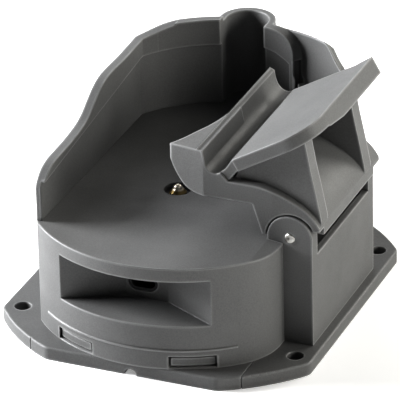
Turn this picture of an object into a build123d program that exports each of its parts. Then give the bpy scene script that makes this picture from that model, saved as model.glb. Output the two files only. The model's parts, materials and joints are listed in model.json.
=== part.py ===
from build123d import *
from math import cos, sin, radians, sqrt
import os

os.makedirs("parts", exist_ok=True)

# Charging rack for a hand-held box lantern.
# Millimetres, +Z up, +Y to the rear, origin at the bottom centre of the mounting plate.

# mounting plate
plate_x = 150.0
plate_y = 169.0
plate_t = 6.2
plate_round_r = 94.0
plate_corner_r = 6.0
crease_x = 51.0
crease_w = 0.6
crease_depth = 0.35
hole_pitch_x = 133.0
hole_pitch_y = 106.0
mount_hole_d = 7.6
cord_groove_r = 3.0
cord_groove_len = 26.0

# lower housing
side_left = -54.0
side_right = 57.0
front_arc_r = 70.5
front_arc_y = -16.0
rear_arc_r = 63.0
rear_arc_y = 22.0
plan_corner_r = 5.0
front_corner_r = 30.0
wall_t = 3.5
deck_z = 56.5
deck_t = 3.5
deck_under = deck_z - deck_t

# sloping bevel at the right front of the deck
bevel_x = 50.0
bevel_drop = 1.0

# front recess and inlet hole
recess_half = 36.4
recess_z0 = 27.8
recess_z1 = 50.0
recess_back_y = -63.0
recess_back_half = 10.2
recess_wall = 3.0
inlet_x = -2.0
inlet_z = 35.6
inlet_hole_w = 14.4
inlet_hole_h = 8.6

# snap windows and hooks
window_x0 = 18.2
window_x1 = 38.0
window_z0 = 6.9
window_z1 = 12.6
hook_gap = 0.9
hook_side_gap = 0.1
hook_t = 3.0

# rule line moulded on the front wall
rule_z = 15.2
rule_h = 0.9
rule_proud = 0.5
rule_half = 46.0

# cradle wall
wall_top = 100.0
bay_top = 98.0
cradle_t = 2.4
lip_t = 1.8
lip_bottom = 87.2
lip_rear_y = 50.0
lip_slope = 0.11
bump_x = -10.5
bump_y = 86.0
bump_r = 10.2
bump_wall = 3.2
bump_bottom = 46.0
wall_front_y = -61.0
end_turn = 43.0
end_s = 12.3
end_bead = 13.0
end_pocket_top = 83.5
end_pocket_bottom = 66.0
end_pocket_in = 9.5
end_pocket_w = 3.7
fairing_t = 3.4
fairing_x0 = 2.0
fairing_x1 = 52.0
fairing_turn_x = 31.5
fairing_end_z = 84.0
fairing_bottom = 38.0

# latch tower
tower_x0 = 49.6
tower_y0 = -42.0
tower_y1 = 35.5
ear_t = 6.5
ear_r = 10.6
pin_x = tower_x0 + ear_r
tower_x1 = pin_x + ear_r
pin_z = deck_z + 1.9
pin_d = 4.8
nut_r = 5.2
saddle_z = pin_z - 8.8
trough_floor = saddle_z - 3.6
trough_wall = 3.0
trough_inner_wall = 1.9

# latch
latch_gap = 0.8
latch_y0 = tower_y0
latch_y1 = tower_y1
ridge_y1 = 47.0
hub_r = 8.0
hub_bore = pin_d + 0.1
hub_len = 16.0
hub_rise = 11.6
skirt_z = 59.2
hood_x1 = 73.7
thumb_slope = 30.0
thumb_len = 42.6
thumb_t = 6.0
thumb_y1 = 34.0
thumb_end_out = 3.0
thumb_end_in = 8.0
thumb_corner_r = 16.0
rim_drop = 2.6
rib_t = 8.0
rib_front_y = -37.5
rib_rear_y = 17.0

# charging contacts
contact_x = -6.2
contact_places = (("front", -11.0), ("rear", 15.0))
deck_hole_d = 12.8
bush_gap = 0.05
bush_top = deck_z - 2.1
bush_bottom = bush_top - 14.4
bush_flange_d = 17.0
bush_flange_t = 2.5
plunger_d = 8.0
plunger_fit = 0.08
plunger_tip_z = deck_z + 2.4
plunger_tip_r = 2.2
plunger_shoulder_z = deck_z - 1.3
collar_d = 9.4
collar_t = 2.0
collar_z = deck_z - 6.5
cap_t = 2.0
tab_t = 0.8

# circuit board
board_x0 = -32.0
board_x1 = 30.0
board_y0 = -50.0
board_y1 = 10.0
board_z = 20.0
board_t = 1.6
board_hole_inset = 4.0
post_d = 8.0
board_screw_d = 2.9

# housing screws
screw_x = 38.0
screw_y = 46.0
screw_d = 3.9
screw_head_d = 7.4
screw_head_t = 2.6
screw_len = 20.0
boss_d = 9.0


def plan_outline(inset):
    """Closed plan line of the lower housing, moved inward by inset."""
    left = side_left + inset
    right = side_right - inset
    fr = front_arc_r - inset
    rr = rear_arc_r - inset
    y_fl = front_arc_y - sqrt(fr ** 2 - left ** 2)
    y_fr = front_arc_y - sqrt(fr ** 2 - right ** 2)
    y_rl = rear_arc_y + sqrt(rr ** 2 - left ** 2)
    y_rr = rear_arc_y + sqrt(rr ** 2 - right ** 2)
    with BuildLine() as outline:
        ThreePointArc((left, y_fl), (0, front_arc_y - fr), (right, y_fr))
        Line((right, y_fr), (right, y_rr))
        ThreePointArc((right, y_rr), (0, rear_arc_y + rr), (left, y_rl))
        Line((left, y_rl), (left, y_fl))
    make_face(outline.edges())


def block(x0, x1, y0, y1, z0, z1, mode=Mode.ADD):
    """Box between two corners in the open part."""
    centre = ((x0 + x1) / 2, (y0 + y1) / 2, (z0 + z1) / 2)
    with Locations(centre):
        Box(x1 - x0, y1 - y0, z1 - z0, mode=mode)


def save(builder, name):
    builder.part.label = name
    export_step(builder.part, "parts/" + name + ".step")


# ---------------------------------------------------------------- base plate
board_posts = []
for px in (board_x0 + board_hole_inset, board_x1 - board_hole_inset):
    for py in (board_y0 + board_hole_inset, board_y1 - board_hole_inset):
        board_posts.append((px, py))

mount_holes = []
for sx in (-1, 1):
    for sy in (-1, 1):
        mount_holes.append((sx * hole_pitch_x / 2, sy * hole_pitch_y / 2))

with BuildPart() as base_plate:
    with BuildSketch():
        Rectangle(plate_x, plate_y)
        Circle(plate_round_r, mode=Mode.INTERSECT)
    extrude(amount=plate_t)
    fillet(base_plate.edges().filter_by(Axis.Z), radius=plate_corner_r)
    fillet(base_plate.faces().sort_by(Axis.Z)[-1].outer_wire().edges(), radius=0.8)
    with BuildSketch(Plane.XY):
        with Locations(*mount_holes):
            Circle(mount_hole_d / 2)
    extrude(amount=plate_t, mode=Mode.SUBTRACT)
    # fine crease over the edge at each front corner, and along the top at the right one
    for side in (-1, 1):
        crease_left = side * crease_x - crease_w / 2
        crease_right = side * crease_x + crease_w / 2
        if side > 0:
            block(crease_left, crease_right, -plate_y / 2, front_arc_y - 40.0,
                  plate_t - crease_depth, plate_t + 1, mode=Mode.SUBTRACT)
        edge_y = -sqrt(plate_round_r ** 2 - crease_x ** 2)
        block(crease_left, crease_right, edge_y - 1.0, edge_y + 0.5,
              -1.0, plate_t + 1, mode=Mode.SUBTRACT)
    # cord groove in the underside, open at the front edge
    with BuildSketch(Plane.XZ.offset(plate_y / 2)):
        Circle(cord_groove_r)
    extrude(amount=-cord_groove_len, mode=Mode.SUBTRACT)
    # board posts
    with BuildSketch(Plane.XY.offset(plate_t)):
        with Locations(*board_posts):
            Circle(post_d / 2)
    extrude(amount=board_z - plate_t)
    with BuildSketch(Plane.XY.offset(board_z)):
        with Locations(*board_posts):
            Circle(board_screw_d / 2)
    extrude(amount=-8.0, mode=Mode.SUBTRACT)
    # hook walls behind the snap windows
    hook_outer = front_arc_r - wall_t - hook_side_gap
    with BuildSketch(Plane.XY.offset(plate_t)):
        with Locations((0, front_arc_y)):
            Circle(hook_outer)
            Circle(hook_outer - hook_t, mode=Mode.SUBTRACT)
        hook_mid = (window_x0 + window_x1) / 2
        hook_w = window_x1 - window_x0 - 2 * hook_gap
        with Locations((hook_mid, front_arc_y - 50.0), (-hook_mid, front_arc_y - 50.0)):
            Rectangle(hook_w, 80.0, mode=Mode.INTERSECT)
    extrude(amount=window_z1 - hook_gap - plate_t)
    with BuildSketch(Plane.XY.offset(window_z0 + hook_gap)):
        with Locations((0, front_arc_y)):
            Circle(front_arc_r - hook_gap)
            Circle(hook_outer - hook_t, mode=Mode.SUBTRACT)
        with Locations((hook_mid, front_arc_y - 50.0), (-hook_mid, front_arc_y - 50.0)):
            Rectangle(hook_w, 80.0, mode=Mode.INTERSECT)
    extrude(amount=window_z1 - window_z0 - 2 * hook_gap)
    # screw holes from below with head recesses
    with BuildSketch(Plane.XY):
        with Locations((-screw_x, screw_y), (screw_x, screw_y)):
            Circle(screw_d / 2 + 0.2)
    extrude(amount=plate_t, mode=Mode.SUBTRACT)
    with BuildSketch(Plane.XY):
        with Locations((-screw_x, screw_y), (screw_x, screw_y)):
            Circle(screw_head_d / 2 + 0.3)
    extrude(amount=screw_head_t + 0.4, mode=Mode.SUBTRACT)
save(base_plate, "base_plate")

# ------------------------------------------------------------- housing shell
with BuildPart() as housing_shell:
    with BuildSketch(Plane.XY.offset(plate_t)):
        plan_outline(0)
    extrude(amount=deck_z - plate_t)
    corners = housing_shell.edges().filter_by(Axis.Z)
    right_front = corners.group_by(Axis.X)[-1].sort_by(Axis.Y)[0]
    other_corners = [e for e in corners if e.center() != right_front.center()]
    fillet(right_front, radius=front_corner_r)
    fillet(other_corners, radius=plan_corner_r)
    # bevel falling to the right in front of the tower
    with BuildSketch(Plane.XZ.offset(-tower_y0)):
        with BuildLine():
            Polyline(
                (bevel_x, deck_z + 1),
                (bevel_x, deck_z),
                (side_right + 1, deck_z - bevel_drop),
                (side_right + 1, deck_z + 1),
                close=True,
            )
        make_face()
    extrude(amount=40.0, mode=Mode.SUBTRACT)
    # hollow
    with BuildSketch(Plane.XY.offset(plate_t)):
        plan_outline(wall_t)
    extrude(amount=deck_under - plate_t, mode=Mode.SUBTRACT)
    # recess body in the front wall
    with BuildSketch(Plane.XY.offset(recess_z0 - recess_wall)):
        with BuildLine():
            Polyline(
                (-recess_half - recess_wall, front_arc_y - 61.0),
                (-recess_back_half - recess_wall, recess_back_y + recess_wall),
                (recess_back_half + recess_wall, recess_back_y + recess_wall),
                (recess_half + recess_wall, front_arc_y - 61.0),
                (0, front_arc_y - front_arc_r + wall_t / 2),
                close=True,
            )
        make_face()
        with Locations((0, front_arc_y)):
            Circle(front_arc_r - 0.5, mode=Mode.INTERSECT)
    extrude(amount=deck_z - deck_t / 2 - recess_z0 + recess_wall)
    with BuildSketch(Plane.XY.offset(recess_z0)):
        with BuildLine():
            Polyline(
                (-recess_half - 1.0, -100.0),
                (-recess_half, front_arc_y - 60.4),
                (-recess_back_half, recess_back_y),
                (recess_back_half, recess_back_y),
                (recess_half, front_arc_y - 60.4),
                (recess_half + 1.0, -100.0),
                close=True,
            )
        make_face()
    extrude(amount=recess_z1 - recess_z0, mode=Mode.SUBTRACT)
    # inlet hole
    with BuildSketch(Plane.XZ.offset(-recess_back_y)):
        with Locations((inlet_x, inlet_z)):
            SlotOverall(inlet_hole_w, inlet_hole_h)
    extrude(amount=-recess_wall - 1, mode=Mode.SUBTRACT)
    # snap windows
    for side in (-1, 1):
        x0 = min(side * window_x0, side * window_x1)
        x1 = max(side * window_x0, side * window_x1)
        block(x0, x1, -100.0, front_arc_y - 45.0, window_z0, window_z1, mode=Mode.SUBTRACT)
    # seat for the tower
    block(tower_x0, 80.0, tower_y0, tower_y1, plate_t - 1, deck_z + 1, mode=Mode.SUBTRACT)
    # room for the push nut behind the tower
    with BuildSketch(Plane.XZ.offset(-tower_y1)):
        with Locations((pin_x, pin_z)):
            Circle(nut_r + 0.8)
    extrude(amount=-4.0, mode=Mode.SUBTRACT)
    # contact holes
    with BuildSketch(Plane.XY.offset(deck_under)):
        with Locations(*[(contact_x, cy) for name, cy in contact_places]):
            Circle(deck_hole_d / 2)
    extrude(amount=deck_t + 1, mode=Mode.SUBTRACT)
    # rear screw bosses
    with BuildSketch(Plane.XY.offset(plate_t)):
        with Locations((-screw_x, screw_y), (screw_x, screw_y)):
            Circle(boss_d / 2)
    extrude(amount=deck_under - plate_t)
    with BuildSketch(Plane.XY.offset(plate_t)):
        with Locations((-screw_x, screw_y), (screw_x, screw_y)):
            Circle(screw_d / 2)
    extrude(amount=screw_len, mode=Mode.SUBTRACT)
    # thin rule moulded round the front wall
    with BuildSketch(Plane.XY.offset(rule_z)):
        with Locations((0, front_arc_y)):
            Circle(front_arc_r + rule_proud)
            Circle(front_arc_r - 1.0, mode=Mode.SUBTRACT)
        with Locations((0, front_arc_y - 60.0)):
            Rectangle(2 * rule_half, 100.0, mode=Mode.INTERSECT)
    extrude(amount=rule_h)
save(housing_shell, "housing_shell")

# --------------------------------------------------------------- latch tower
with BuildPart() as latch_tower:
    block(tower_x0, tower_x1, tower_y0, tower_y1, plate_t, pin_z)
    # ears follow the pin
    with BuildSketch(Plane.XZ.offset(-tower_y0)):
        with Locations((pin_x, pin_z)):
            Circle(ear_r)
    extrude(amount=-(tower_y1 - tower_y0))
    block(tower_x0 - 5, pin_x - ear_r, tower_y0, tower_y1, deck_z, pin_z + 5, mode=Mode.SUBTRACT)
    block(pin_x + ear_r, tower_x1 + 5, tower_y0, tower_y1, saddle_z, pin_z + 5, mode=Mode.SUBTRACT)
    # saddle between the ears
    block(tower_x0 - 5, tower_x1 + 5, tower_y0 + ear_t, tower_y1 - ear_t, deck_z, pin_z + 20,
          mode=Mode.SUBTRACT)
    block(tower_x0 + trough_inner_wall, tower_x1 + 5, tower_y0 + ear_t, tower_y1 - ear_t,
          saddle_z, pin_z + 20, mode=Mode.SUBTRACT)
    block(tower_x0 + trough_inner_wall, tower_x1 - trough_wall, tower_y0 + ear_t,
          tower_y1 - ear_t, trough_floor, saddle_z + 1, mode=Mode.SUBTRACT)
    # hollow foot
    block(tower_x0 - 1, tower_x1 - trough_wall, tower_y0 + trough_wall, tower_y1 - trough_wall,
          plate_t - 1, trough_floor - trough_wall, mode=Mode.SUBTRACT)
    # pin bore
    with BuildSketch(Plane.XZ.offset(-tower_y0)):
        with Locations((pin_x, pin_z)):
            Circle(pin_d / 2)
    extrude(amount=-(tower_y1 - tower_y0), mode=Mode.SUBTRACT)
save(latch_tower, "latch_tower")


# --------------------------------------------------------------- cradle wall
# space inside the thin lower part of the wall, below the lip
with BuildPart() as below_lip:
    with BuildSketch(Plane.XY.offset(deck_z)):
        plan_outline(cradle_t)
    extrude(amount=wall_top - deck_z)
    with BuildSketch(Plane.YZ.offset(side_left - 5.0)):
        with BuildLine():
            Polyline(
                (-100.0, deck_z),
                (-100.0, lip_bottom - lip_slope * (lip_rear_y + 100.0)),
                (lip_rear_y, lip_bottom),
                (120.0, lip_bottom),
                (120.0, deck_z),
                close=True,
            )
        make_face()
    extrude(amount=130.0, mode=Mode.INTERSECT)
    # the lip falls towards the right end and runs down it as a bead
    with BuildSketch(Plane.XZ.offset(-60.0)):
        with BuildLine():
            Polyline(
                (0, lip_bottom + 1),
                (0, lip_bottom),
                (5.8, lip_bottom - 1.6),
                (10.9, lip_bottom - 4.3),
                (end_bead, lip_bottom - 5.8),
                (end_bead, deck_z - 1),
                (80.0, deck_z - 1),
                (80.0, lip_bottom + 1),
                close=True,
            )
        make_face()
    extrude(amount=-60.0, mode=Mode.SUBTRACT)

# the right end of the rear wall is cut square to a line turned from the X axis
end_plane = Plane(
    origin=(0, rear_arc_y + rear_arc_r - cradle_t - lip_t, 0),
    x_dir=(cos(radians(end_turn)), -sin(radians(end_turn)), 0),
    z_dir=(-sin(radians(end_turn)), -cos(radians(end_turn)), 0),
)

# outer fairing behind the end of the rear wall, sharp along its top
with BuildPart() as fairing:
    with BuildSketch(Plane.XY.offset(fairing_bottom)):
        with Locations((0, rear_arc_y)):
            Circle(rear_arc_r + fairing_t)
            Circle(rear_arc_r, mode=Mode.SUBTRACT)
    extrude(amount=bay_top - 1.0 - fairing_bottom)
    chamfer(fairing.faces().sort_by(Axis.Z)[-1].outer_wire().edges(), length=fairing_t - 0.6)
    block(fairing_x0, fairing_x1, 40.0, 110.0, fairing_bottom, bay_top, mode=Mode.INTERSECT)
    with BuildSketch(Plane.XZ.offset(-30.0)):
        with BuildLine():
            Polyline(
                (fairing_x1 + 1, fairing_end_z),
                (fairing_x1 + 1, bay_top + 1),
                (fairing_turn_x, bay_top + 1),
                (fairing_turn_x, bay_top - 1.0),
            )
            Spline(
                (fairing_turn_x, bay_top - 1.0),
                (34.2, bay_top - 2.2),
                (36.8, bay_top - 5.0),
                (39.5, bay_top - 8.0),
                (43.7, bay_top - 10.8),
                (fairing_x1 + 1, fairing_end_z),
            )
        make_face()
    extrude(amount=-70.0, mode=Mode.SUBTRACT)

with BuildPart() as cradle_wall:
    with BuildSketch(Plane.XY.offset(deck_z)):
        plan_outline(0)
    extrude(amount=wall_top - deck_z)
    fillet(cradle_wall.edges().filter_by(Axis.Z), radius=plan_corner_r)
    with BuildSketch(Plane.XY.offset(deck_z)):
        plan_outline(cradle_t + lip_t)
    extrude(amount=wall_top - deck_z, mode=Mode.SUBTRACT)
    add(below_lip.part, mode=Mode.SUBTRACT)
    # keep the left and rear walls only
    block(side_left + 9.0, 80.0, -100.0, 60.0, deck_z, wall_top + 1, mode=Mode.SUBTRACT)
    block(side_left - 5.0, 80.0, -100.0, wall_front_y, deck_z, wall_top + 1, mode=Mode.SUBTRACT)
    block(bump_x - bump_r, 80.0, 40.0, 120.0, bay_top, wall_top + 1, mode=Mode.SUBTRACT)
    with BuildSketch(end_plane):
        with BuildLine():
            Spline(
                (0, bay_top),
                (4.2, bay_top - 0.7),
                (7.3, bay_top - 2.1),
                (9.8, bay_top - 4.2),
                (11.4, bay_top - 7.1),
                (end_s, bay_top - 11.0),
            )
            Polyline(
                (end_s, bay_top - 11.0),
                (end_s, end_pocket_bottom + 10.0),
                (end_s + 8.0, end_pocket_bottom),
                (end_s + 8.0, deck_z - 1),
                (90.0, deck_z - 1),
                (90.0, bay_top + 3),
                (0, bay_top + 3),
                (0, bay_top),
            )
        make_face()
    extrude(amount=60.0, both=True, mode=Mode.SUBTRACT)
    # half-round bay at the rear
    with BuildSketch(Plane.XY.offset(bump_bottom)):
        with Locations((bump_x, bump_y)):
            Circle(bump_r + bump_wall)
        with Locations((bump_x, bump_y - 4.0)):
            Rectangle(2 * (bump_r + bump_wall), 8.0)
        with Locations((0, rear_arc_y)):
            Circle(rear_arc_r, mode=Mode.SUBTRACT)
    extrude(amount=bay_top - bump_bottom)
    add(fairing.part)
    with BuildSketch(Plane.XY.offset(deck_z)):
        with Locations((bump_x, bump_y)):
            Circle(bump_r)
        with Locations((bump_x, bump_y - 10.0)):
            Rectangle(2 * bump_r, 20.0)
    extrude(amount=wall_top - deck_z + 1, mode=Mode.SUBTRACT)
    # pocket in the right end, below the lip
    with BuildSketch(end_plane.offset(-end_pocket_in)):
        with Locations((end_s, (end_pocket_top + end_pocket_bottom) / 2)):
            Rectangle(5.0, end_pocket_top - end_pocket_bottom)
    extrude(amount=-end_pocket_w, mode=Mode.SUBTRACT)
    # shoulder line of the left wall
    with BuildSketch(Plane.YZ.offset(side_left - 5)):
        with BuildLine():
            Polyline((71.0, wall_top + 2), (71.0, wall_top))
            Spline(
                (71.0, wall_top),
                (65.0, 98.8),
                (58.0, 96.9),
                (46.0, 95.8),
                (28.0, 95.4),
                (9.0, 94.5),
                (-2.0, 89.6),
                (-10.0, 85.0),
                (-21.0, 82.4),
                (-40.0, 81.2),
                (-53.0, 79.6),
                (-59.5, 75.2),
                (wall_front_y - 1.0, 69.0),
            )
            Polyline(
                (wall_front_y - 1.0, 69.0),
                (wall_front_y - 12.0, 69.0),
                (wall_front_y - 12.0, wall_top + 2),
                (71.0, wall_top + 2),
            )
        make_face()
    extrude(amount=20.0, mode=Mode.SUBTRACT)
save(cradle_wall, "cradle_wall")

# --------------------------------------------------------------------- latch
ridge_left = 16.2
groove_edge = (27.4, 85.4)
slope = radians(thumb_slope)
thumb_x0 = 33.0
thumb_z0 = 92.5
with BuildPart() as latch_arm:
    # nose hook, narrowing towards the rear
    with BuildSketch(Plane.XZ.offset(-latch_y0)):
        with BuildLine():
            Polyline((1.4, 91.5), (1.2, 94.2), (19.0, 94.6), (23.5, 72.6), (21.5, 72.4))
            Spline(
                (21.5, 72.4),
                (16.8, 72.6),
                (11.5, 74.1),
                (7.8, 77.2),
                (5.0, 81.3),
                (2.4, 87.0),
                (1.4, 91.5),
            )
        make_face()
    extrude(amount=-(5.0 - latch_y0))
    with BuildSketch(Plane.XY.offset(60.0)):
        with BuildLine():
            Spline((-0.4, -42.0), (5.6, -32.9), (8.8, -25.1), (11.8, -17.8), (14.8, -7.2), (16.0, 4.9))
            Polyline((16.0, 4.9), (16.0, 20.0), (40.0, 20.0), (40.0, -44.0), (-0.4, -44.0), (-0.4, -42.0))
        make_face()
    extrude(amount=50.0, mode=Mode.INTERSECT)
    # ridge and groove wall, longer than the hood at the rear
    with BuildSketch(Plane.XZ.offset(-latch_y0)):
        with BuildLine():
            Spline((18.6, 94.2), (19.5, 89.4), (21.5, 86.0), (24.5, 84.5), groove_edge)
            Polyline(
                groove_edge,
                (31.0, 81.6),
                (32.0, 72.6),
                (22.8, 72.6),
                (17.6, 84.0),
                (ridge_left, 95.2),
                (18.6, 94.2),
            )
        make_face()
    extrude(amount=-(ridge_y1 - latch_y0))
    # slanting wall from the groove to the thumb plate
    with BuildSketch(Plane.XZ.offset(-latch_y0 - 1.0)):
        with BuildLine():
            Spline(groove_edge, (29.9, 87.7), (31.7, 90.4), (thumb_x0, thumb_z0))
            Polyline(
                (thumb_x0, thumb_z0),
                (36.0, 92.8),
                (36.6, 89.0),
                (35.4, 87.0),
                (31.4, 81.9),
                (31.8, 80.6),
                (26.6, 83.6),
                groove_edge,
            )
        make_face()
    extrude(amount=-(thumb_y1 - latch_y0 - 1.0))
    # web, hood and inner fang
    with BuildSketch(Plane.XZ.offset(-latch_y0)):
        with BuildLine():
            Polyline(
                (30.0, 82.5),
                (31.0, 81.6),
                (44.3, 81.4),
            )
            Spline((44.3, 81.4), (51.0, 80.3), (59.8, 76.8), (67.0, 72.4), (71.3, 68.2), (hood_x1, 64.6))
            Polyline(
                (hood_x1, 64.6),
                (hood_x1, 60.0),
                (47.1, 58.4),
                (42.6, 72.6),
                (30.0, 72.6),
                (30.0, 82.5),
            )
        make_face()
        with Locations((pin_x, pin_z)):
            Circle(ear_r + latch_gap, mode=Mode.SUBTRACT)
        with Locations((pin_x + 20.0, pin_z)):
            Rectangle(40.0, 2 * (62.8 - pin_z), mode=Mode.SUBTRACT)
        with Locations((pin_x - 4.0, pin_z - 10.0)):
            Rectangle(20.0, 20.0, mode=Mode.SUBTRACT)
    extrude(amount=-(latch_y1 - latch_y0))
    # hubs on the pin and the outer skirt between the ears
    hub_y0 = tower_y0 + ear_t + latch_gap
    hub_y1 = tower_y1 - ear_t - latch_gap
    for start, stop in ((hub_y0, hub_y0 + hub_len), (hub_y1 - hub_len, hub_y1)):
        with BuildSketch(Plane.XZ.offset(-start)):
            with Locations((pin_x, pin_z)):
                Circle(hub_r)
            with Locations((pin_x, pin_z + hub_rise / 2)):
                Rectangle(2 * hub_r, hub_rise)
        extrude(amount=-(stop - start))
    with BuildSketch(Plane.XZ.offset(-hub_y0)):
        with BuildLine():
            Polyline(
                (68.6, 69.6),
                (hood_x1 - 1.2, 65.6),
                (hood_x1, 64.0),
                (hood_x1, skirt_z),
                (hood_x1 - 3.6, skirt_z),
                (hood_x1 - 3.6, 62.0),
                (67.0, 68.0),
                close=True,
            )
        make_face()
    extrude(amount=-(hub_y1 - hub_y0))
    with BuildSketch(Plane.XZ.offset(-latch_y0)):
        with Locations((pin_x, pin_z)):
            Circle(hub_bore / 2)
    extrude(amount=-(latch_y1 - latch_y0), mode=Mode.SUBTRACT)
    # thumb plate
    thumb_plane = Plane(
        origin=(thumb_x0, 0, thumb_z0),
        x_dir=(cos(slope), 0, sin(slope)),
        z_dir=(-sin(slope), 0, cos(slope)),
    )
    with BuildSketch(thumb_plane):
        with BuildLine():
            Polyline(
                (0, latch_y0),
                (thumb_len, latch_y0),
                (thumb_len, thumb_y1 + thumb_end_out),
                (thumb_len - thumb_end_in, thumb_y1 - 1.0),
                (0, thumb_y1),
                close=True,
            )
        thumb_face = make_face()
        fillet(thumb_face.vertices().group_by(Axis.X)[-1].sort_by(Axis.Y)[0], thumb_corner_r)
    extrude(amount=-thumb_t)
    # front faces: the nose turns to the left and the hood end to the right
    for x_fixed, x_end, set_back, top in ((19.4, -2.0, 4.2, 99.0), (52.0, 75.0, 1.8, 85.0)):
        with BuildSketch(Plane.XY.offset(60.0)):
            with BuildLine():
                Polyline(
                    (x_fixed, latch_y0 - 1),
                    (x_fixed, latch_y0),
                    (x_end, latch_y0 + set_back),
                    (x_end, latch_y0 - 1),
                    close=True,
                )
            make_face()
        extrude(amount=top - 60.0, mode=Mode.SUBTRACT)
    # deeper rim along its right edge, running out at the rounded corner
    rim_plane = Plane(
        origin=thumb_plane.from_local_coords((thumb_len, 0, 0)),
        x_dir=(0, 1, 0),
        z_dir=thumb_plane.x_dir,
    )
    with BuildSketch(rim_plane):
        with BuildLine():
            Polyline(
                (latch_y0 + thumb_corner_r + 1.0, -thumb_t + 1.0),
                (latch_y0 + thumb_corner_r + 1.0, -thumb_t - 0.6),
                (latch_y0 + thumb_corner_r + 16.0, -thumb_t - rim_drop),
                (thumb_y1 + thumb_end_out, -thumb_t - rim_drop),
                (thumb_y1 + thumb_end_out, -thumb_t + 1.0),
                close=True,
            )
        make_face()
    extrude(amount=-3.5)
    with BuildSketch(thumb_plane.offset(1.0)):
        with BuildLine():
            Polyline(
                (thumb_len - thumb_end_in, thumb_y1 - 1.0),
                (thumb_len, thumb_y1 + thumb_end_out),
                (thumb_len + 2.0, thumb_y1 + thumb_end_out + 1.0),
                (thumb_len + 2.0, thumb_y1 + 12.0),
                (thumb_len - thumb_end_in, thumb_y1 + 12.0),
                close=True,
            )
        make_face()
    extrude(amount=-thumb_t - rim_drop - 2.0, mode=Mode.SUBTRACT)
    # ribs between the plate and the hood
    for rib_y in (rib_front_y, rib_rear_y):
        with BuildSketch(Plane.XZ.offset(-rib_y)):
            with BuildLine():
                Polyline(
                    (33.0, 82.0),
                    (36.0, 89.0),
                    (65.8, 106.0),
                    (68.6, 91.0),
                    (71.2, 79.0),
                    (73.6, 67.0),
                    (73.6, 64.0),
                    (66.0, 71.0),
                    (58.0, 75.0),
                    (44.0, 80.0),
                    close=True,
                )
            make_face()
        extrude(amount=-rib_t)
save(latch_arm, "latch_arm")

# ----------------------------------------------------------------- hinge pin
with BuildPart() as hinge_pin:
    with BuildSketch(Plane.XZ.offset(-tower_y0 + 0.4)):
        with Locations((pin_x, pin_z)):
            Circle(pin_d / 2)
    extrude(amount=-(tower_y1 - tower_y0 + 0.4 + 3.0))
    chamfer(hinge_pin.edges().filter_by(GeomType.CIRCLE), length=0.4)
save(hinge_pin, "hinge_pin")

with BuildPart() as pin_push_nut:
    with BuildSketch(Plane.XZ.offset(-tower_y1)):
        with Locations((pin_x, pin_z)):
            Circle(nut_r)
            Circle(pin_d / 2, mode=Mode.SUBTRACT)
    extrude(amount=-1.0)
    with BuildSketch(Plane.XZ.offset(-tower_y1 - 1.0)):
        with Locations((pin_x, pin_z)):
            Circle(3.6)
            Circle(pin_d / 2, mode=Mode.SUBTRACT)
    extrude(amount=-0.8)
save(pin_push_nut, "pin_push_nut")

# -------------------------------------------------------------- latch spring
spring_wire = 1.2
spring_r = 4.0
spring_pitch = 1.5
spring_turns = 10.0
spring_len = spring_pitch * spring_turns
spring_y0 = (hub_y0 + hub_len + hub_y1 - hub_len) / 2 - spring_len / 2
with BuildPart() as latch_spring:
    with BuildLine() as spring_path:
        latch_coil = Helix(pitch=spring_pitch, height=spring_len, radius=spring_r,
                           center=(pin_x, spring_y0, pin_z), direction=(0, 1, 0))
        # fixed leg: out to the left, then down to the trough floor
        leg_corner = latch_coil @ 0 - (latch_coil % 0) * 6.6
        FilletPolyline((leg_corner.X, leg_corner.Y, trough_floor), leg_corner,
                       latch_coil @ 0, radius=1.5)
        # moving leg: out to the right against the skirt
        Line(latch_coil @ 1, latch_coil @ 1 + (latch_coil % 1) * 9.0)
    spring_wire_path = spring_path.wires()[0]
    with BuildSketch(Plane(origin=spring_wire_path @ 0, z_dir=spring_wire_path % 0)):
        Circle(spring_wire / 2)
    sweep(path=spring_wire_path, is_frenet=True)
save(latch_spring, "latch_spring")

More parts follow.
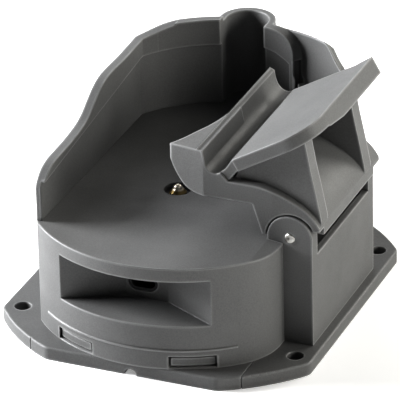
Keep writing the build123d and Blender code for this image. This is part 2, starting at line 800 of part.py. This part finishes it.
# ------------------------------------------------------------------ contacts
spring_d = 0.7
for name, contact_y in contact_places:
    with BuildPart() as contact_bush:
        with BuildSketch(Plane.XY.offset(bush_bottom)):
            with Locations((contact_x, contact_y)):
                Circle(deck_hole_d / 2 - bush_gap)
        extrude(amount=bush_top - bush_bottom)
        with BuildSketch(Plane.XY.offset(deck_under - bush_flange_t)):
            with Locations((contact_x, contact_y)):
                Circle(bush_flange_d / 2)
        extrude(amount=bush_flange_t)
        with BuildSketch(Plane.XY.offset(bush_bottom)):
            with Locations((contact_x, contact_y)):
                Circle(collar_d / 2 + plunger_fit)
        extrude(amount=collar_z - bush_bottom, mode=Mode.SUBTRACT)
        with BuildSketch(Plane.XY.offset(bush_bottom)):
            with Locations((contact_x, contact_y)):
                Circle(plunger_d / 2 + plunger_fit)
        extrude(amount=20.0, mode=Mode.SUBTRACT)
    save(contact_bush, "contact_bush_" + name)

    with BuildPart() as contact_plunger:
        with BuildSketch(Plane.XY.offset(collar_z)):
            with Locations((contact_x, contact_y)):
                Circle(plunger_d / 2)
        extrude(amount=plunger_shoulder_z - collar_z)
        with BuildSketch(Plane.XY.offset(collar_z - collar_t)):
            with Locations((contact_x, contact_y)):
                Circle(collar_d / 2)
        extrude(amount=collar_t)
        with Locations((contact_x, contact_y, plunger_shoulder_z)):
            Cone(plunger_d / 2, plunger_tip_r, 1.9, align=(Align.CENTER, Align.CENTER, Align.MIN))
        with Locations((contact_x, contact_y, plunger_tip_z - plunger_tip_r)):
            Sphere(plunger_tip_r)
    save(contact_plunger, "contact_plunger_" + name)

    cap_top = bush_bottom
    coil_r = collar_d / 2 - 1.0
    coil_z0 = cap_top + spring_d / 2
    coil_z1 = collar_z - collar_t - spring_d / 2
    with BuildPart() as contact_spring:
        with BuildLine() as spring_line:
            Helix(pitch=(coil_z1 - coil_z0) / 5, height=coil_z1 - coil_z0, radius=coil_r,
                  center=(contact_x, contact_y, coil_z0))
        with BuildSketch(Plane(origin=spring_line.line @ 0, z_dir=spring_line.line % 0)):
            Circle(spring_d / 2)
        sweep(path=spring_line.line)
    save(contact_spring, "contact_spring_" + name)

    with BuildPart() as contact_cap:
        with BuildSketch(Plane.XY.offset(cap_top - cap_t)):
            with Locations((contact_x, contact_y)):
                Circle(deck_hole_d / 2 - bush_gap)
        extrude(amount=cap_t)
        block(contact_x - 2.0, contact_x + 2.0, contact_y - tab_t / 2, contact_y + tab_t / 2,
              cap_top - cap_t - 6.0, cap_top - cap_t)
    save(contact_cap, "contact_cap_" + name)

# --------------------------------------------------------------------- inlet
inlet_flange_y = recess_back_y + recess_wall
inlet_depth = 14.0
inlet_pin_dx = 3.6
inlet_pin_r = 0.9
with BuildPart() as inlet_body:
    for half_w, half_h, y0, y1 in ((10.5, 6.5, 0.0, 2.0), (7.0, 5.0, 2.0, inlet_depth)):
        block(inlet_x - half_w, inlet_x + half_w, inlet_flange_y + y0, inlet_flange_y + y1,
              inlet_z - half_h, inlet_z + half_h)
    with BuildSketch(Plane.XZ.offset(-inlet_flange_y)):
        with Locations((inlet_x, inlet_z)):
            SlotOverall(inlet_hole_w - 0.2, inlet_hole_h - 0.2)
    extrude(amount=recess_wall - 0.5)
    with BuildSketch(Plane.XZ.offset(-inlet_flange_y + recess_wall)):
        with Locations((inlet_x, inlet_z)):
            SlotOverall(inlet_hole_w - 2.8, inlet_hole_h - 2.8)
    extrude(amount=-(recess_wall + inlet_depth - 3.0), mode=Mode.SUBTRACT)
    with BuildSketch(Plane.XZ.offset(-inlet_flange_y - inlet_depth)):
        with Locations((inlet_x - inlet_pin_dx, inlet_z), (inlet_x + inlet_pin_dx, inlet_z)):
            Circle(inlet_pin_r)
    extrude(amount=4.0, mode=Mode.SUBTRACT)
save(inlet_body, "inlet_body")

for name, dx in (("left", -inlet_pin_dx), ("right", inlet_pin_dx)):
    with BuildPart() as inlet_pin:
        with BuildSketch(Plane.XZ.offset(-inlet_flange_y - inlet_depth - 5.0)):
            with Locations((inlet_x + dx, inlet_z)):
                Circle(inlet_pin_r)
        extrude(amount=inlet_depth + 4.0)
    save(inlet_pin, "inlet_pin_" + name)

# ------------------------------------------------------------- circuit board
with BuildPart() as circuit_board:
    block(board_x0, board_x1, board_y0, board_y1, board_z, board_z + board_t)
    with BuildSketch(Plane.XY.offset(board_z)):
        with Locations(*board_posts):
            Circle(1.7)
    extrude(amount=board_t, mode=Mode.SUBTRACT)
save(circuit_board, "circuit_board")

board_top = board_z + board_t
with BuildPart() as power_components:
    block(-12.0, 2.0, -30.0, -16.0, board_top, board_top + 9.0)
    with BuildSketch(Plane.XY.offset(board_top)):
        with Locations((22.0, -40.0), (22.0, -30.0)):
            Circle(4.0)
    extrude(amount=11.0)
    block(-14.0, -4.0, -6.0, 2.0, board_top, board_top + 2.2)
    block(4.0, 9.0, -2.0, 4.0, board_top, board_top + 1.8)
save(power_components, "power_components")

terminal_h = 8.0
inlet_terminal = (-24.0, -30.0)
contact_terminal = (20.0, -2.0)
with BuildPart() as board_terminals:
    for tx, ty in (inlet_terminal, contact_terminal):
        block(tx - 3.5, tx + 3.5, ty - 6.0, ty + 6.0, board_top, board_top + terminal_h)
save(board_terminals, "board_terminals")

for index, (px, py) in enumerate(board_posts):
    with BuildPart() as board_screw:
        with BuildSketch(Plane.XY.offset(board_top)):
            with Locations((px, py)):
                Circle(2.8)
        extrude(amount=1.8)
        with BuildSketch(Plane.XY.offset(board_top)):
            with Locations((px, py)):
                Circle(board_screw_d / 2)
        extrude(amount=-(board_t + 6.0))
        with BuildSketch(Plane.XY.offset(board_top + 1.0)):
            with Locations((px, py)):
                Rectangle(3.0, 0.7)
                Rectangle(0.7, 3.0)
        extrude(amount=1.0, mode=Mode.SUBTRACT)
    save(board_screw, "board_screw_" + str(index + 1))

for name, sx in (("left", -screw_x), ("right", screw_x)):
    with BuildPart() as housing_screw:
        head_z = 0.4
        with BuildSketch(Plane.XY.offset(head_z)):
            with Locations((sx, screw_y)):
                Circle(screw_head_d / 2)
        extrude(amount=screw_head_t)
        with BuildSketch(Plane.XY.offset(head_z + screw_head_t)):
            with Locations((sx, screw_y)):
                Circle(screw_d / 2)
        extrude(amount=screw_len - 2.0)
        with BuildSketch(Plane.XY.offset(head_z)):
            with Locations((sx, screw_y)):
                Rectangle(4.4, 0.9)
                Rectangle(0.9, 4.4)
        extrude(amount=1.4, mode=Mode.SUBTRACT)
    save(housing_screw, "housing_screw_" + name)


# --------------------------------------------------------------------- leads
def lead(points, start, end, radius):
    """Round insulated wire through a list of points, with its end directions."""
    with BuildLine() as path:
        Spline(*points, tangents=(start, end))
    with BuildSketch(Plane(origin=path.line @ 0, z_dir=path.line % 0)) as section:
        Circle(radius)
    sweep(sections=section.sketch, path=path.line)


lead_r = 0.9
tab_z = bush_bottom - cap_t - 4.0
with BuildPart() as contact_leads:
    for (name, contact_y), ty in zip(contact_places, (-5.0, 1.0)):
        lead(
            [
                (contact_terminal[0], ty, board_top + terminal_h),
                (contact_x, contact_y + tab_t / 2 + lead_r, tab_z),
            ],
            (0, 0, 1),
            (0, 0, 1),
            lead_r,
        )
save(contact_leads, "contact_leads")

with BuildPart() as inlet_leads:
    for dx, ty in ((-inlet_pin_dx, -33.0), (inlet_pin_dx, -27.0)):
        lead(
            [
                (inlet_x + dx, inlet_flange_y + inlet_depth + 5.0, inlet_z),
                (inlet_terminal[0], ty, board_top + terminal_h),
            ],
            (0, 1, 0),
            (0, 0, -1),
            lead_r,
        )
save(inlet_leads, "inlet_leads")
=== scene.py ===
import json
from math import cos, radians, sin

import bpy
from mathutils import Matrix, Vector


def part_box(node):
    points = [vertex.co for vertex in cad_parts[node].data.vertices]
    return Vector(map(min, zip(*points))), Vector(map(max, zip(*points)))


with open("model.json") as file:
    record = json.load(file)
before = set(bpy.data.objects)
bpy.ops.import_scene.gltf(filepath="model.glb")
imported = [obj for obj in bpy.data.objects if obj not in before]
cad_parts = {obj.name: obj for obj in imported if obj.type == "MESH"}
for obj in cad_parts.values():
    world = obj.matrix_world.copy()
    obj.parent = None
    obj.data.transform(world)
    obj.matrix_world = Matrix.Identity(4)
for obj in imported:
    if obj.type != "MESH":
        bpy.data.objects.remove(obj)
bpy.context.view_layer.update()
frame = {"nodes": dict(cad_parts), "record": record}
nodes = frame["nodes"]

# camera: where it looks, from which side, and how long its lens is
look_at = Vector((0.0, 0.0, 0.045))
view_azimuth = radians(23.0)
view_elevation = radians(27.4)
view_roll = radians(-1.36)
view_distance = 1.923
view_lens = 379.4
view_shift = (-0.0011, 0.0075)

# plastic colours, linear
housing_grey = (0.125, 0.126, 0.125)
latch_grey = (0.138, 0.139, 0.138)
black = (0.014, 0.014, 0.015)

# radii that the shader rounds edges to, on mouldings and on small metal pieces
moulded_edge = 0.0009
small_edge = 0.0003

# agreement of the rounded normal with the flat one where an edge begins, and where it is full
edge_begins = 0.998
edge_full = 0.88

# how far from an outer edge the plastic gets its painted highlight, a paler colour, and the openness where
# that begins and is full
highlight_reach = 0.0012
highlight_begins = 0.93
highlight_full = 0.66

# the contacts' tips are bright down to this height, partly worn clean by use and partly a painted highlight
# on the dome, and tarnished below a short band
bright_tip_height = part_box("contact_plunger_front")[1][2] - 0.0014
bright_tip_band = 0.0012

# where the cradle wall stands on the deck, and the band over which the painted edge highlight fades out
# along its seam
deck_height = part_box("housing_shell")[1][2]
wall_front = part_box("cradle_wall")[0][1] - 0.0002
wall_right = 0.019
seam_band = 0.0004

# white floor: half its side, its glow, and half the sides of a painted shadow, a dark patch that reaches
# past the screw holes
floor_half = 8.0
floor_glow = 0.38
painted_shadow_half = (0.0735, 0.058)

# soft boxes: how far off and how wide they are, and their two colours
box_distance = 1.5
box_size = 0.8
cool = (0.98, 0.985, 1.0)
warm = (1.0, 0.985, 0.94)
room_light = 0.02
display_gamma = 0.8


# ------------------------------------------------------------------ materials
class Shader:
    """A material being built, with short calls for the nodes that it uses."""

    def __init__(self, name):
        self.material = bpy.data.materials.new(name)
        self.material.use_nodes = True
        self.tree = self.material.node_tree
        self.surface = self.tree.nodes["Principled BSDF"]
        self.place = self.add("ShaderNodeNewGeometry").outputs["Position"]

    def add(self, kind, **settings):
        node = self.tree.nodes.new(kind)
        for key, value in settings.items():
            setattr(node, key, value)
        return node

    def link(self, source, target):
        self.tree.links.new(source, target)

    def coordinates(self):
        """Outputs named X, Y and Z with the point's place in metres."""
        node = self.add("ShaderNodeSeparateXYZ")
        self.link(self.place, node.inputs["Vector"])
        return node.outputs

    def noise(self, scale, detail=3.0, roughness=0.5):
        node = self.add("ShaderNodeTexNoise")
        node.inputs["Scale"].default_value = scale
        node.inputs["Detail"].default_value = detail
        node.inputs["Roughness"].default_value = roughness
        self.link(self.place, node.inputs["Vector"])
        return node.outputs["Fac"]

    def ramp(self, value, low, high, out_low=0.0, out_high=1.0):
        node = self.add("ShaderNodeMapRange")
        limits = {"From Min": low, "From Max": high, "To Min": out_low, "To Max": out_high}
        for key, number in limits.items():
            node.inputs[key].default_value = number
        self.link(value, node.inputs["Value"])
        return node.outputs["Result"]

    def math(self, operation, a, b):
        node = self.add("ShaderNodeMath", operation=operation)
        for socket, value in zip(node.inputs, (a, b)):
            if isinstance(value, (int, float)):
                socket.default_value = value
            else:
                self.link(value, socket)
        return node.outputs["Value"]

    def mix(self, share, a, b):
        node = self.add("ShaderNodeMix", data_type="RGBA")
        self.link(share, node.inputs["Factor"])
        for key, value in (("A", a), ("B", b)):
            socket = [s for s in node.inputs if s.name == key and s.type == "RGBA"][0]
            if isinstance(value, tuple):
                socket.default_value = (*value, 1.0)
            else:
                self.link(value, socket)
        return [s for s in node.outputs if s.type == "RGBA"][0]

    def rounded(self, radius):
        """Normal with the edges rounded over, and how strongly each point is near an edge."""
        bevel = self.add("ShaderNodeBevel", samples=6)
        bevel.inputs["Radius"].default_value = radius
        geometry = self.add("ShaderNodeNewGeometry")
        dot = self.add("ShaderNodeVectorMath", operation="DOT_PRODUCT")
        self.link(bevel.outputs["Normal"], dot.inputs[0])
        self.link(geometry.outputs["Normal"], dot.inputs[1])
        return bevel.outputs["Normal"], self.ramp(dot.outputs["Value"], edge_begins, edge_full)

    def outer_edges(self, distance):
        """How near each point is to an outer edge, where rays into the solid soon meet its other side."""
        node = self.add("ShaderNodeAmbientOcclusion", inside=True, only_local=True, samples=8)
        node.inputs["Distance"].default_value = distance
        return self.ramp(node.outputs["AO"], highlight_begins, highlight_full)

    def off_seam(self):
        """Zero along the seam where the cradle wall rises from the deck's edge, and one elsewhere."""
        at = self.coordinates()
        from_deck = self.math("ABSOLUTE", self.math("SUBTRACT", at["Z"], deck_height), 0.0)
        away = self.ramp(from_deck, highlight_reach, highlight_reach + seam_band)
        ahead = self.math("LESS_THAN", at["Y"], wall_front)
        beside = self.math("GREATER_THAN", at["X"], wall_right)
        return self.math("MAXIMUM", away, self.math("MAXIMUM", ahead, beside))

    def bump(self, height, distance, strength, normal=None):
        node = self.add("ShaderNodeBump")
        node.inputs["Distance"].default_value = distance
        node.inputs["Strength"].default_value = strength
        self.link(height, node.inputs["Height"])
        if normal is not None:
            self.link(normal, node.inputs["Normal"])
        return node.outputs["Normal"]

    def finish(self, colour, roughness, normal, metallic=0.0):
        self.link(colour, self.surface.inputs["Base Color"])
        self.link(roughness, self.surface.inputs["Roughness"])
        self.link(normal, self.surface.inputs["Normal"])
        self.surface.inputs["Metallic"].default_value = metallic
        return self.material


def scaled(colour, factor):
    return tuple(c * factor for c in colour)


def moulded_plastic(name, colour, edge_radius):
    """Matte injection-moulded plastic: fine spark-eroded grain, faint clouding, glossier edges, and a
    painted highlight on outer edges.
    """
    s = Shader(name)
    cloud = s.ramp(s.noise(28.0, 4.0), 0.35, 0.65)
    grain = s.noise(1500.0, 2.0, 0.6)
    flow = s.noise(90.0, 3.0)
    normal, edge = s.rounded(edge_radius)
    body = s.mix(cloud, scaled(colour, 0.93), scaled(colour, 1.07))
    speck = s.ramp(grain, 0.35, 0.65)
    body = s.mix(s.math("MULTIPLY", speck, 0.5), body, scaled(colour, 1.4))
    # painted highlight: outer edges are painted paler, up to 2.4 times the colour in patches, but not along
    # the wall's seam on the deck
    painted_edge_highlight = s.math("MULTIPLY", s.outer_edges(highlight_reach), s.ramp(flow, 0.3, 0.7, 0.6, 1.0))
    painted_edge_highlight = s.math("MULTIPLY", painted_edge_highlight, s.off_seam())
    body = s.mix(painted_edge_highlight, body, scaled(colour, 2.4))
    rough = s.ramp(flow, 0.3, 0.7, 0.5, 0.6)
    rough = s.math("SUBTRACT", rough, s.math("MULTIPLY", edge, 0.16))
    normal = s.bump(grain, 0.00012, 0.45, normal)
    normal = s.bump(flow, 0.0004, 0.12, normal)
    s.surface.inputs["Specular IOR Level"].default_value = 0.5
    return s.finish(body, rough, normal)


def turned_metal(name, colour, tarnish, roughness, bright_tip=False):
    """Bare metal with fine tool marks and tarnish, a painted highlight along its edges, and for the
    contacts a bright tip, partly worn clean and partly a painted highlight.
    """
    s = Shader(name)
    marks = s.noise(900.0, 4.0, 0.7)
    stain = s.ramp(s.noise(420.0, 4.0), 0.45, 0.7)
    if bright_tip:
        # bright tip: partly worn clean by use and partly a painted highlight on the contact's dome;
        # tarnished below
        dirty = s.ramp(s.coordinates()["Z"], bright_tip_height, bright_tip_height - bright_tip_band)
        stain = s.math("MAXIMUM", s.math("MULTIPLY", stain, 0.3), dirty)
    normal, edge = s.rounded(small_edge)
    body = s.mix(stain, colour, tarnish)
    # painted highlight: edges are mixed halfway towards a colour paler than the metal itself
    body = s.mix(s.math("MULTIPLY", edge, 0.5), body, scaled(colour, 1.15))
    rough = s.ramp(marks, 0.3, 0.7, roughness, roughness + 0.15)
    normal = s.bump(marks, 0.00003, 0.3, normal)
    return s.finish(body, rough, normal, metallic=1.0)


def board_laminate(name):
    """Green solder mask over woven glass."""
    s = Shader(name)
    weave = s.noise(1400.0, 1.0)
    cloud = s.ramp(s.noise(60.0, 3.0), 0.4, 0.6)
    normal, edge = s.rounded(small_edge)
    body = s.mix(cloud, (0.012, 0.10, 0.035), (0.02, 0.14, 0.05))
    body = s.mix(s.math("MULTIPLY", edge, 0.7), body, (0.28, 0.27, 0.14))
    rough = s.ramp(weave, 0.3, 0.7, 0.3, 0.42)
    return s.finish(body, rough, s.bump(weave, 0.00005, 0.3, normal))


def lead_insulation(name):
    """Soft insulation with a faint matte bloom, and a painted highlight on its edges."""
    s = Shader(name)
    grain = s.noise(1200.0, 3.0)
    normal, edge = s.rounded(0.0002)
    body = s.mix(s.ramp(grain, 0.3, 0.7), (0.22, 0.012, 0.010), (0.34, 0.022, 0.018))
    # painted highlight: edges are mixed towards a paler red than the insulation
    body = s.mix(s.math("MULTIPLY", edge, 0.3), body, (0.42, 0.05, 0.04))
    rough = s.ramp(grain, 0.3, 0.7, 0.4, 0.55)
    return s.finish(body, rough, s.bump(grain, 0.00004, 0.2, normal))


finishes = {
    "housing_plastic": moulded_plastic("housing_plastic", housing_grey, moulded_edge),
    "latch_plastic": moulded_plastic("latch_plastic", latch_grey, moulded_edge),
    "black_plastic": moulded_plastic("black_plastic", black, 0.0004),
    "contact_brass": turned_metal("contact_brass", (1.0, 0.93, 0.80), (0.18, 0.135, 0.06), 0.3, True),
    "steel": turned_metal("steel", (0.72, 0.71, 0.68), (0.16, 0.15, 0.14), 0.28),
    "board_laminate": board_laminate("board_laminate"),
    "lead_insulation": lead_insulation("lead_insulation"),
}

for subpart in frame["record"]["subparts"]:
    mesh = nodes[subpart["node"]].data
    mesh.materials.clear()
    mesh.materials.append(finishes[subpart["material_slot"]])


# ---------------------------------------------------------------------- stage
def pale_floor():
    """White paper, lifted to clean white where the camera sees it, with a painted shadow under the part: a
    near-black patch that does not glow.
    """
    s = Shader("studio_paper")
    fibre = s.noise(700.0, 3.0)
    at = s.coordinates()
    # painted shadow: under the part the floor is near black and its glow is off, so the screw holes read
    # dark
    out_x = s.math("DIVIDE", s.math("ABSOLUTE", at["X"], 0.0), painted_shadow_half[0])
    out_y = s.math("DIVIDE", s.math("ABSOLUTE", at["Y"], 0.0), painted_shadow_half[1])
    clear = s.math("GREATER_THAN", s.math("MAXIMUM", out_x, out_y), 1.0)
    paper = s.mix(s.ramp(fibre, 0.3, 0.7), (0.93, 0.93, 0.93), (0.95, 0.95, 0.95))
    body = s.mix(clear, (0.01, 0.01, 0.01), paper)
    rough = s.ramp(fibre, 0.3, 0.7, 0.85, 0.95)
    s.surface.inputs["Specular IOR Level"].default_value = 0.1
    s.surface.inputs["Emission Color"].default_value = (1.0, 1.0, 1.0, 1.0)
    seen = s.math("MULTIPLY", s.add("ShaderNodeLightPath").outputs["Is Camera Ray"], floor_glow)
    s.link(s.math("MULTIPLY", clear, seen), s.surface.inputs["Emission Strength"])
    s.finish(body, rough, s.bump(fibre, 0.0001, 0.1))
    mesh = bpy.data.meshes.new("floor")
    corners = [(x * floor_half, y * floor_half, 0.0) for x, y in ((-1, -1), (1, -1), (1, 1), (-1, 1))]
    mesh.from_pydata(corners, [], [(0, 1, 2, 3)])
    mesh.materials.append(s.material)
    floor = bpy.data.objects.new("floor", mesh)
    bpy.context.scene.collection.objects.link(floor)


def soft_light(name, azimuth, elevation, power, colour):
    """Soft box aimed at the part. Azimuth is as seen from above, from +X towards +Y."""
    aim = Vector((0.0, 0.0, 0.05))
    data = bpy.data.lights.new(name, "AREA")
    data.shape = "DISK"
    data.size = box_size
    data.energy = power
    data.color = colour
    light = bpy.data.objects.new(name, data)
    a = radians(azimuth)
    e = radians(elevation)
    place = Vector((cos(a) * cos(e), sin(a) * cos(e), sin(e))) * box_distance + aim
    light.location = place
    light.rotation_euler = (aim - place).to_track_quat("-Z", "Y").to_euler()
    bpy.context.scene.collection.objects.link(light)


pale_floor()
soft_light("key", azimuth=188.0, elevation=21.0, power=75.0, colour=cool)
soft_light("right", azimuth=5.0, elevation=15.0, power=19.0, colour=warm)
soft_light("rear_right", azimuth=60.0, elevation=30.0, power=14.0, colour=warm)
soft_light("rear_left", azimuth=120.0, elevation=30.0, power=5.0, colour=cool)

world = bpy.data.worlds.new("studio")
bpy.context.scene.world = world
world.use_nodes = True
background = world.node_tree.nodes["Background"]
background.inputs["Color"].default_value = (1.0, 1.0, 1.0, 1.0)
background.inputs["Strength"].default_value = room_light

# --------------------------------------------------------------------- camera
camera_data = bpy.data.cameras.new("camera")
camera_data.lens = view_lens
camera_data.sensor_width = 36.0
camera_data.shift_x, camera_data.shift_y = view_shift
camera_data.clip_end = 50.0
camera = bpy.data.objects.new("camera", camera_data)
bpy.context.scene.collection.objects.link(camera)
away = Vector((
    sin(view_azimuth) * cos(view_elevation),
    -cos(view_azimuth) * cos(view_elevation),
    sin(view_elevation),
))
upright = (-away).to_track_quat("-Z", "Y").to_matrix()
camera.matrix_world = (
    Matrix.Translation(look_at + away * view_distance)
    @ (upright @ Matrix.Rotation(view_roll, 3, "Z")).to_4x4()
)
bpy.context.scene.camera = camera
bpy.context.scene.view_settings.view_transform = "Standard"
bpy.context.scene.view_settings.gamma = display_gamma
